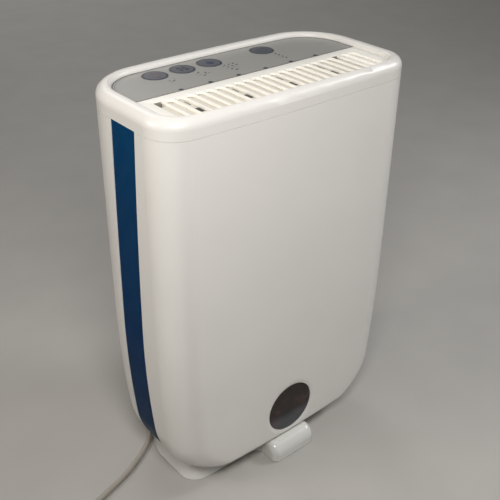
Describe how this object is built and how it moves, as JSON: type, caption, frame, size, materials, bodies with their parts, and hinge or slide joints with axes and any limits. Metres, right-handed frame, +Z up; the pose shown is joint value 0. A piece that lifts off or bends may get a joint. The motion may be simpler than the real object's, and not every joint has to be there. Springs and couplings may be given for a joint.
{
  "type": "dehumidifier",
  "caption": "Slim upright desiccant dehumidifier with a recessed top panel, slotted outlet with swing louvre, blue side strips, round tank window and a flared base.",
  "frame": {"origin": "on the floor, at the middle of the housing", "axes": "+Z up, +X to the right seen from the front, the front faces -Y"},
  "size_m": [0.516, 0.3045, 0.509],
  "materials": {
    "shell": "semi-gloss moulded ABS, warm white",
    "grille": "semi-gloss moulded ABS, warm white",
    "base_shell": "gloss moulded ABS, white",
    "strip": "embossed satin film, deep blue",
    "film": "satin membrane, grey",
    "key": "satin membrane key, blue grey",
    "indicator": "clear tinted light pipes",
    "dark_trim": "dark moulded plastic",
    "lens": "smoked clear polycarbonate",
    "seal": "soft black rubber",
    "inner_plastic": "moulded polypropylene, off-white",
    "black_plastic": "glass-filled moulded plastic, black",
    "acetal": "acetal gear plastic",
    "motor": "zinc-plated steel can",
    "heating_wire": "nichrome ribbon on mica",
    "desiccant": "zeolite honeycomb",
    "board": "solder-masked circuit board",
    "sensor": "small moulded housings",
    "steel": "zinc-plated screws",
    "mesh": "woven filter mesh",
    "tank": "smoke-clear moulded tank",
    "lid": "moulded polypropylene, light grey",
    "float": "foamed plastic float and arm",
    "magnet": "ferrite magnet",
    "cord": "soft PVC, light cream grey"
  },
  "bodies": {
    "housing": {"base": "base_shell", "chassis": "inner_plastic", "coil_tie": "dark_trim", "condenser": "black_plastic", "control_board": "board", "control_panel": "film", "cord_coil": "cord", "cover_screws": "steel", "drip_tray": "inner_plastic", "fan_motor": "motor", "fan_scroll": "inner_plastic", "front_cover": "shell", "hand_grip": "shell", "heater_cover": "inner_plastic", "heater_element": "heating_wire", "humidity_sensor": "sensor", "indicator_lights": "indicator", "louvre_motor": "motor", "outlet_duct": "black_plastic", "outlet_grille": "grille", "panel_pegs": "dark_trim", "plug": "cord", "power_board": "board", "power_cord": "cord", "rear_cover": "shell", "regen_housing": "inner_plastic", "regen_motor": "motor", "rotor_motor": "motor", "rotor_spindle": "inner_plastic", "rubber_feet": "seal", "side_strip_left": "strip", "side_strip_right": "strip", "strain_relief": "cord", "tank_runners": "inner_plastic", "tank_switch": "sensor", "tilt_switch": "sensor", "top_cap": "shell", "window_lens": "lens", "window_seal": "seal"},
    "louvre": {"louvre_flap": "grille"},
    "power_key": {"key_power": "key"},
    "fan_key": {"key_fan": "key"},
    "humidity_key": {"key_humidity": "key"},
    "timer_key": {"key_timer": "key"},
    "wheel": {"desiccant_wheel": "desiccant", "rotor_rim": "acetal", "rotor_hub": "inner_plastic"},
    "pinion": {"drive_pinion": "acetal"},
    "fan": {"fan_impeller": "black_plastic"},
    "regen_fan": {"regen_impeller": "black_plastic"},
    "filter": {"filter_cover": "grille", "filter_frame": "black_plastic", "filter_mesh": "mesh"},
    "tank": {"water_tank": "tank", "tank_lid": "lid", "tank_door": "grille"},
    "handle": {"tank_handle": "lid"},
    "float": {"float_arm": "float", "float_block": "float", "float_magnet": "magnet"}
  },
  "joints": [
    {"name": "louvre_swing", "type": "hinge", "parent": "housing", "child": "louvre", "pos_m": [-0.012, -0.022, 0.4885], "axis": [1, 0, 0], "range_deg": [0, 60]},
    {"name": "power_key_press", "type": "slide", "parent": "housing", "child": "power_key", "axis": [0, 0, -1], "range_m": [0, 0.0008], "stiffness_N_per_m": 1000, "springref_m": -0.0008},
    {"name": "fan_key_press", "type": "slide", "parent": "housing", "child": "fan_key", "axis": [0, 0, -1], "range_m": [0, 0.0008], "stiffness_N_per_m": 1000, "springref_m": -0.0008},
    {"name": "humidity_key_press", "type": "slide", "parent": "housing", "child": "humidity_key", "axis": [0, 0, -1], "range_m": [0, 0.0008], "stiffness_N_per_m": 1000, "springref_m": -0.0008},
    {"name": "timer_key_press", "type": "slide", "parent": "housing", "child": "timer_key", "axis": [0, 0, -1], "range_m": [0, 0.0008], "stiffness_N_per_m": 1000, "springref_m": -0.0008},
    {"name": "wheel_spin", "type": "hinge", "parent": "housing", "child": "wheel", "pos_m": [0, -0.002, 0.3], "axis": [0, 1, 0], "continuous": true},
    {"name": "pinion_spin", "type": "hinge", "parent": "housing", "child": "pinion", "pos_m": [-0.10533, -0.002, 0.38838], "axis": [0, 1, 0], "continuous": true},
    {"name": "fan_spin", "type": "hinge", "parent": "housing", "child": "fan", "pos_m": [0, -0.046, 0.29], "axis": [0, 1, 0], "continuous": true},
    {"name": "regen_fan_spin", "type": "hinge", "parent": "housing", "child": "regen_fan", "pos_m": [0.132, 0.023, 0.205], "axis": [0, 1, 0], "continuous": true},
    {"name": "filter_pull", "type": "slide", "parent": "housing", "child": "filter", "axis": [0, 1, 0], "range_m": [0, 0.06]},
    {"name": "tank_pull", "type": "slide", "parent": "housing", "child": "tank", "axis": [0, 1, 0], "range_m": [0, 0.18]},
    {"name": "handle_swing", "type": "hinge", "parent": "tank", "child": "handle", "pos_m": [0, 0.02, 0.1223], "axis": [-1, 0, 0], "range_deg": [0, 90]},
    {"name": "float_swing", "type": "hinge", "parent": "tank", "child": "float", "pos_m": [-0.045, -0.018, 0.108], "axis": [-1, 0, 0], "range_deg": [0, 25]}
  ],
  "couplings": [
    {"joint": "pinion_spin", "follows": "wheel_spin", "ratio": -6.8571}
  ]
}
